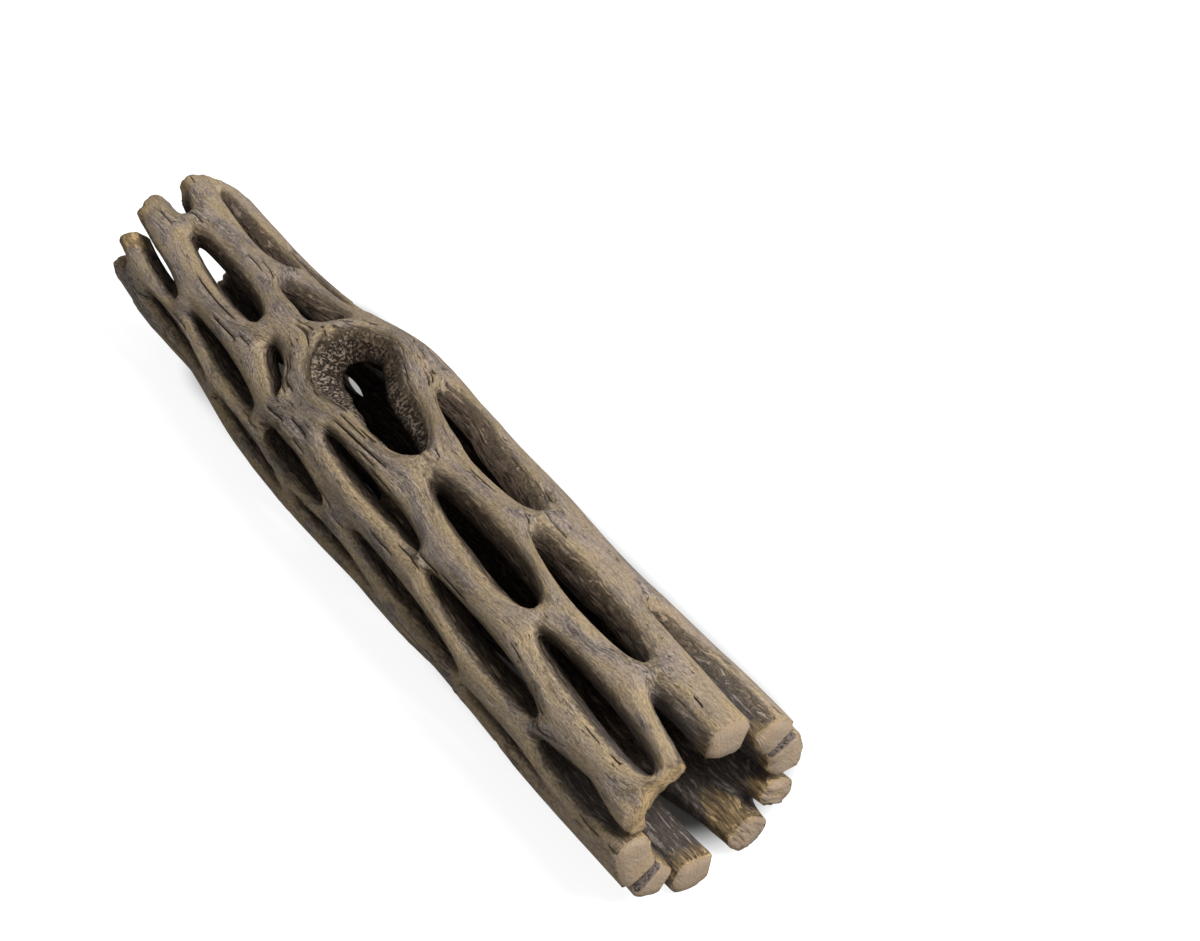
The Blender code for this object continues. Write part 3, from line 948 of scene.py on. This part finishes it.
# %% Sunned outside
TAN = (0.342, 0.264, 0.188, 1)
BLEACHED = (0.318, 0.26, 0.22, 1)
OCHRE = (0.35, 0.258, 0.135, 1)
PIT = (0.048, 0.032, 0.021, 1)
OCHRE_REACH = 3.2
DASHES_CROWD = (16.0, 3.0)


def wood_colour(tree, place, speckle, fine, edge):
    """Tan and bleached patches, ochre blotches near the holes, and a sandy grain."""
    broad, _ = grain(tree, place, 2.2, 3.0, 2.0)
    patches, _ = grain(tree, place, 6.0, 1.6, 1.0)
    colour = mixed(tree, ranged(tree, patches, 0.42, 0.58), TAN, BLEACHED)
    near_edge = ranged(tree, edge, OCHRE_REACH, 0.4, 0.0, 0.14)
    blotches = ranged(tree, maths(tree, "ADD", near_edge, broad), 0.5, 0.68, 0.0, 0.6)
    colour = mixed(tree, blotches, colour, OCHRE)
    sand = ranged(tree, speckle, 0.34, 0.66, 0.77, 1.26)
    fibres = ranged(tree, fine, 0.32, 0.68, 0.84, 1.1)
    worn = ranged(tree, broad, 0.34, 0.5, 0.86, 1.04)
    tone = times(tree, times(tree, sand, fibres), worn)
    tone = add(tree, "CombineColor", {0: tone, 1: tone, 2: tone}).outputs[0]
    return mixed(tree, 1.0, colour, tone, "MULTIPLY"), patches


def dark_marks(tree, place, lines, patches, from_knot):
    """Dashes, thin cracks and open checks, as one mask."""
    dashes, _ = grain(tree, place, 0.55, 4.5, 1.8)
    crowded = ranged(tree, from_knot, *DASHES_CROWD, 0.0, 0.045)
    dashes = ranged(tree, maths(tree, "ADD", dashes, crowded), 0.645, 0.715)
    cracks = times(tree, lines, ranged(tree, patches, 0.5, 0.62, 0.0, 0.45))
    marks = larger(tree, dashes, cracks)
    return larger(tree, marks, ranged(tree, fact(tree, "check"), 0.25, 0.8))


print("outside from", TAN[:3], "to", BLEACHED[:3])

# %% [markdown]
# The walls of the holes are a brown net of fibres. Painted shade darkens them inwards, and painted light
# makes them paler near the open sawn end. The wall of the knot was grown across the branch: it is pitted,
# with a few cracks that lead inwards, and painted shade darkens its right half and its far part.

# %% Walls of the holes
WALL_RIDGE = (0.27, 0.196, 0.138, 1)
WALL_HOLLOW = (0.031, 0.019, 0.012, 1)
# Lit copies of the wall colours: painted light near the open sawn end.
PAINTED_LIT_RIDGE = (0.36, 0.3, 0.265, 1)
PAINTED_LIT_HOLLOW = (0.12, 0.095, 0.082, 1)
KNOT_RIDGE = (0.34, 0.272, 0.21, 1)
# Painted shade on the knot's wall.
KNOT_PAINTED_SHADE = (0.36, 0.3, 0.245, 1)
# Painted shade deeper inside the tube.
DEEP_PAINTED_SHADE = (0.47, 0.41, 0.35, 1)
PIT_PITCH = 0.45
# Where the painted light near the sawn end begins and where it is full.
PAINTED_LIGHT_FROM = LENGTH - 26
PAINTED_LIGHT_TO = LENGTH - 6
# Where the painted shade on the knot's right half and on its far part sets in.
SHADED_RIGHT_HALF = (-1.5 * MM, 3.5 * MM)
SHADED_FAR_PART = (63.0, 55.0)


def wall_relief(tree, place, along, depth, at_knot):
    """How high the wall stands, from 0 to 1: a net of fibres, or pits and cracks at the knot."""
    threads, net = grain(tree, place, 0.55, 5.5, 1.8, 0.05)
    fibrous = larger(tree, ranged(tree, threads, 0.46, 0.6, 0.0, 0.9), net)
    metres = add(tree, "TexCoord").outputs["Object"]
    space = add(tree, "VectorMath", {0: metres, "Scale": 1 / MM}, operation="SCALE").outputs[0]
    pits, _ = grain(tree, space, PIT_PITCH, 1.0, 0.0)
    inwards = add(tree, "CombineXYZ", {0: times(tree, depth, WALL), 1: along}).outputs[0]
    _, radial = grain(tree, inwards, 2.4, 4.0, 1.0, 0.03)
    solid = ranged(tree, maths(tree, "MULTIPLY_ADD", depth, -0.05, pits), 0.41, 0.52)
    pitted = times(tree, solid, without(tree, radial))
    return between(tree, at_knot, fibrous, pitted)


def wall_colour(tree, along, depth, speckle, at_knot, relief):
    """Pale ridges and dark hollows, with painted light near the open sawn end, and painted shade deeper in
    and on the knot's right half and far part.
    """
    # Painted light on the walls near the open sawn end.
    painted_light_near_saw = ranged(tree, along, PAINTED_LIGHT_FROM, PAINTED_LIGHT_TO)
    ridge = mixed(tree, painted_light_near_saw, mixed(tree, at_knot, WALL_RIDGE, KNOT_RIDGE), PAINTED_LIT_RIDGE)
    wall = mixed(tree, relief, mixed(tree, painted_light_near_saw, WALL_HOLLOW, PAINTED_LIT_HOLLOW), ridge)
    wall = mixed(tree, ranged(tree, speckle, 0.3, 0.7, 0.35, 0.0), wall, WALL_HOLLOW)
    # Painted shade on the knot's right half and on its far part.
    side = add(tree, "SeparateXYZ", {0: add(tree, "TexCoord").outputs["Object"]}).outputs[1]
    painted_knot_shade = larger(tree, ranged(tree, side, *SHADED_RIGHT_HALF), ranged(tree, along, *SHADED_FAR_PART, 0.0, 0.55))
    painted_knot_shade = times(tree, at_knot, painted_knot_shade)
    wall = mixed(tree, 1.0, wall, mixed(tree, painted_knot_shade, WHITE, KNOT_PAINTED_SHADE), "MULTIPLY")
    # Painted shade deeper in the walls, fading out near the sawn end.
    painted_shade_deep = times(tree, ranged(tree, depth, 0.4, 1.0), without(tree, painted_light_near_saw))
    return mixed(tree, 1.0, wall, mixed(tree, painted_shade_deep, WHITE, DEEP_PAINTED_SHADE), "MULTIPLY")


print("walls from", WALL_HOLLOW[:3], "to", WALL_RIDGE[:3])

# %% [markdown]
# Where the grey skin is broken off, the wood is bright and splintered: in single places, on the tips and
# just before the saw. One finish holds it all, because the mesh says where one look turns into the other.

# %% Weathered wood
FRESH_WOOD = (0.52, 0.36, 0.18, 1)
SPLINTER = (0.2, 0.135, 0.075, 1)
FRESH_TIP = (3.5, 0.5)
BEFORE_SAW = (LENGTH - 1.2, LENGTH - 0.3)
SMOOTHER_FROM_KNOT = (12.0, 45.0)
WOOD_BUMP = 0.0005
WOOD_SHINE = 0.2


def fresh_mask(tree, place, along, depth, tip):
    """Where the grey skin is broken off, with splintered borders."""
    splintered, _ = grain(tree, place, 0.5, 9.0, 0.6)
    broken_off = fact(tree, "fresh")
    ragged = maths(tree, "MULTIPLY_ADD", splintered, 3.0, maths(tree, "ADD", broken_off, -1.5))
    ragged = times(tree, ranged(tree, ragged, 0.0, 0.5), ranged(tree, broken_off, 0.0, 0.3))
    cut = ranged(tree, maths(tree, "MULTIPLY_ADD", splintered, 7.0, along), LENGTH, LENGTH + 2.5)
    cut = times(tree, cut, ranged(tree, depth, 0.02, 0.3, 0.25, 0.9))
    return larger(tree, larger(tree, ragged, cut), times(tree, tip, 0.4))


def wall_mask(tree, along, depth, edge, tip):
    """Where the look of the walls shows. On soft rims it comes up over the edge: partly the walls' own brown,
    partly painted shade.
    """
    # The dark wall colour over the soft rims is partly their own brown and partly painted shade.
    rolled_brown_and_shade = times(tree, ranged(tree, edge, 1.5, 0.0, 0.0, 0.8), fact(tree, "soft"))
    crisp = larger(tree, ranged(tree, depth, 0.0, 0.2), ranged(tree, edge, 0.35, 0.0, 0.0, 0.5))
    at_end = larger(tree, tip, ranged(tree, along, *BEFORE_SAW))
    return times(tree, larger(tree, rolled_brown_and_shade, crisp), without(tree, at_end))


def weathered_wood():
    """The finish of the outside, the walls of the holes and the inside."""
    wood, tree, shader = new_finish("weathered wood")
    place = fact(tree, "grain", "Vector")
    along = add(tree, "SeparateXYZ", {"Vector": place}).outputs[0]
    depth = fact(tree, "depth")
    edge = fact(tree, "edge")
    from_knot = fact(tree, "knot")
    fine, lines = grain(tree, place, 0.55, 6.0, 1.6, 0.035)
    speckle, _ = grain(tree, place, 0.36, 1.5, 0.0)
    outside, patches = wood_colour(tree, place, speckle, fine, edge)
    dark = dark_marks(tree, place, lines, patches, from_knot)
    outside = mixed(tree, times(tree, dark, 0.85), outside, PIT)

    at_knot = ranged(tree, from_knot, 0.6, 0.2)
    relief = wall_relief(tree, place, along, depth, at_knot)
    wall = wall_colour(tree, along, depth, speckle, at_knot, relief)
    tip = ranged(tree, along, *FRESH_TIP)
    on_wall = wall_mask(tree, along, depth, edge, tip)
    colour = mixed(tree, on_wall, outside, wall)
    fresh = fresh_mask(tree, place, along, depth, tip)
    fresh_colour = mixed(tree, ranged(tree, fine, 0.34, 0.54), SPLINTER, FRESH_WOOD)
    colour = mixed(tree, times(tree, fresh, 0.9), colour, fresh_colour)

    rough = maths(tree, "MULTIPLY_ADD", speckle, 1.1, times(tree, fine, 0.8))
    rough = times(tree, rough, ranged(tree, from_knot, *SMOOTHER_FROM_KNOT, 1.0, 0.62))
    rough = maths(tree, "MULTIPLY_ADD", dark, -1.2, rough)
    wall_height = maths(tree, "MULTIPLY_ADD", speckle, 0.6, times(tree, relief, 1.8))
    height = between(tree, on_wall, rough, wall_height)
    bump = add(tree, "Bump", {"Height": height, "Strength": 1.0, "Distance": WOOD_BUMP})
    fill(tree, shader, {
        "Base Color": colour,
        "Normal": bump.outputs[0],
        "Roughness": ranged(tree, fine, 0.3, 0.7, 0.95, 0.75),
        "Specular IOR Level": WOOD_SHINE,
    })
    return wood


mesh.materials.append(weathered_wood())
print("nodes in the finish:", len(mesh.materials[0].node_tree.nodes))

# %% [markdown]
# The sawn end is younger wood, cut across the fibres: pale, with tan and ochre blotches, the dots of the cut
# fibres and an ochre line round its edge. Dark, striped wood fills the two closed clefts.

# %% Sawn wood
SAWN_PALE = (0.36, 0.262, 0.178, 1)
SAWN_DOT = (0.2, 0.14, 0.09, 1)
CLEFT_STRIPE = (0.16, 0.13, 0.115, 1)
SAWN_BUMP = 0.0003
SAWN_DULLNESS = 0.85
SAWN_SHINE = 0.25


def sawn_wood():
    """The finish of the sawn faces."""
    wood, tree, shader = new_finish("sawn wood")
    place = fact(tree, "grain", "Vector")
    depth = fact(tree, "depth")
    dots, _ = grain(tree, place, 0.5, 1.0, 0.0)
    blotches, _ = grain(tree, place, 2.4, 1.0, 0.0)
    colour = mixed(tree, ranged(tree, blotches, 0.44, 0.6), SAWN_PALE, TAN)
    colour = mixed(tree, ranged(tree, blotches, 0.46, 0.34, 0.0, 0.7), colour, OCHRE)
    colour = mixed(tree, ranged(tree, dots, 0.56, 0.74, 0.0, 0.6), colour, SAWN_DOT)
    at_edge = larger(tree, ranged(tree, depth, 0.14, 0.0), ranged(tree, depth, 0.86, 1.0))
    colour = mixed(tree, times(tree, at_edge, 0.6), colour, OCHRE)
    stripes, _ = grain(tree, place, 0.45, 0.5, 0.0)
    filled = mixed(tree, ranged(tree, stripes, 0.42, 0.56), PIT, CLEFT_STRIPE)
    colour = mixed(tree, ranged(tree, fact(tree, "cleft"), 0.05, 0.45), colour, filled)
    bump = add(tree, "Bump", {"Height": dots, "Strength": 1.0, "Distance": SAWN_BUMP})
    fill(tree, shader, {
        "Base Color": colour,
        "Normal": bump.outputs[0],
        "Roughness": SAWN_DULLNESS,
        "Specular IOR Level": SAWN_SHINE,
    })
    return wood


mesh.materials.append(sawn_wood())
print("finishes:", [material.name for material in mesh.materials])

# %% [markdown]
# The branch lies on white paper that glows for the camera alone, as in a picture cut out on white. Close to
# the branch, in a stadium shape along its line, the glow fades to almost nothing: a painted shadow zone, in
# which the real shade under the branch shows.

# %% Floor
FLOOR_SIZE = 2.0
FLOOR_WHITE = (0.35, 0.35, 0.35, 1)
FLOOR_DULLNESS = 0.9
FLOOR_GLOW = 0.88
# The painted shadow zone: its glow, where its line lies and ends, and how it fades out.
PAINTED_SHADOW_GLOW = 0.012
PAINTED_SHADOW_SIDE = 0.0097
PAINTED_SHADOW_END = 0.0545
PAINTED_SHADOW_FADE = (0.014, 0.021)


def white_paper():
    """The finish of the floor."""
    paper, tree, shader = new_finish("white paper")
    spot = add(tree, "SeparateXYZ", {0: add(tree, "TexCoord").outputs["Object"]}).outputs
    # Painted shadow zone: the glow is left out within a stadium shape along the branch's line.
    beyond_end = maths(tree, "SUBTRACT", maths(tree, "ABSOLUTE", spot[0]), PAINTED_SHADOW_END)
    beyond_end = larger(tree, beyond_end, 0.0)
    beside = maths(tree, "SUBTRACT", spot[1], PAINTED_SHADOW_SIDE)
    from_line = add(tree, "CombineXYZ", {0: beyond_end, 1: beside})
    away = add(tree, "VectorMath", {0: from_line.outputs[0]}, operation="LENGTH").outputs["Value"]
    glow_beyond_painted_shadow = ranged(tree, away, *PAINTED_SHADOW_FADE, PAINTED_SHADOW_GLOW, FLOOR_GLOW)
    seen_by_camera = add(tree, "LightPath").outputs["Is Camera Ray"]
    fill(tree, shader, {
        "Base Color": FLOOR_WHITE,
        "Roughness": FLOOR_DULLNESS,
        "Emission Color": WHITE,
        "Emission Strength": times(tree, seen_by_camera, glow_beyond_painted_shadow),
    })
    return paper


floor_bm = bmesh.new()
bmesh.ops.create_grid(floor_bm, x_segments=1, y_segments=1, size=FLOOR_SIZE)
floor_mesh = bpy.data.meshes.new("floor")
floor_bm.to_mesh(floor_mesh)
floor_bm.free()
floor_mesh.materials.append(white_paper())
floor = bpy.data.objects.new("floor", floor_mesh)
bpy.context.scene.collection.objects.link(floor)
print("floor of", tuple(round(side, 1) for side in floor.dimensions), "m")

# %% [markdown]
# One wide lamp hangs high behind the camera, on its right. The sky fills the shade evenly and dimly, but the
# camera itself sees it white.

# %% Lamp and sky
SKY_STRENGTH = 0.33
LAMP_PLACE = (0.42, 0.2, 0.58)
LAMP_SIZE = 0.35
LAMP_WATTS = 7.0

sky = bpy.data.worlds.new("sky")
sky.use_nodes = True
seen_by_camera = add(sky.node_tree, "LightPath").outputs["Is Camera Ray"]
strength = ranged(sky.node_tree, seen_by_camera, 0.0, 1.0, SKY_STRENGTH, 1.0)
fill(sky.node_tree, sky.node_tree.nodes["Background"], {"Color": WHITE, "Strength": strength})
bpy.context.scene.world = sky
lamp = bpy.data.objects.new("lamp", bpy.data.lights.new("lamp", "AREA"))
lamp.data.size = LAMP_SIZE
lamp.data.energy = LAMP_WATTS
lamp.location = LAMP_PLACE
lamp.rotation_euler = (-Vector(LAMP_PLACE)).to_track_quat("-Z", "Y").to_euler()
bpy.context.scene.collection.objects.link(lamp)
bpy.context.scene.view_settings.view_transform = "Standard"
print("lamp", round(Vector(LAMP_PLACE).length, 2), "m away")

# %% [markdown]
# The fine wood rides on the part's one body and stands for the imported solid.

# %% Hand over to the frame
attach(skeleton, "root")
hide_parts("cholla_skeleton")
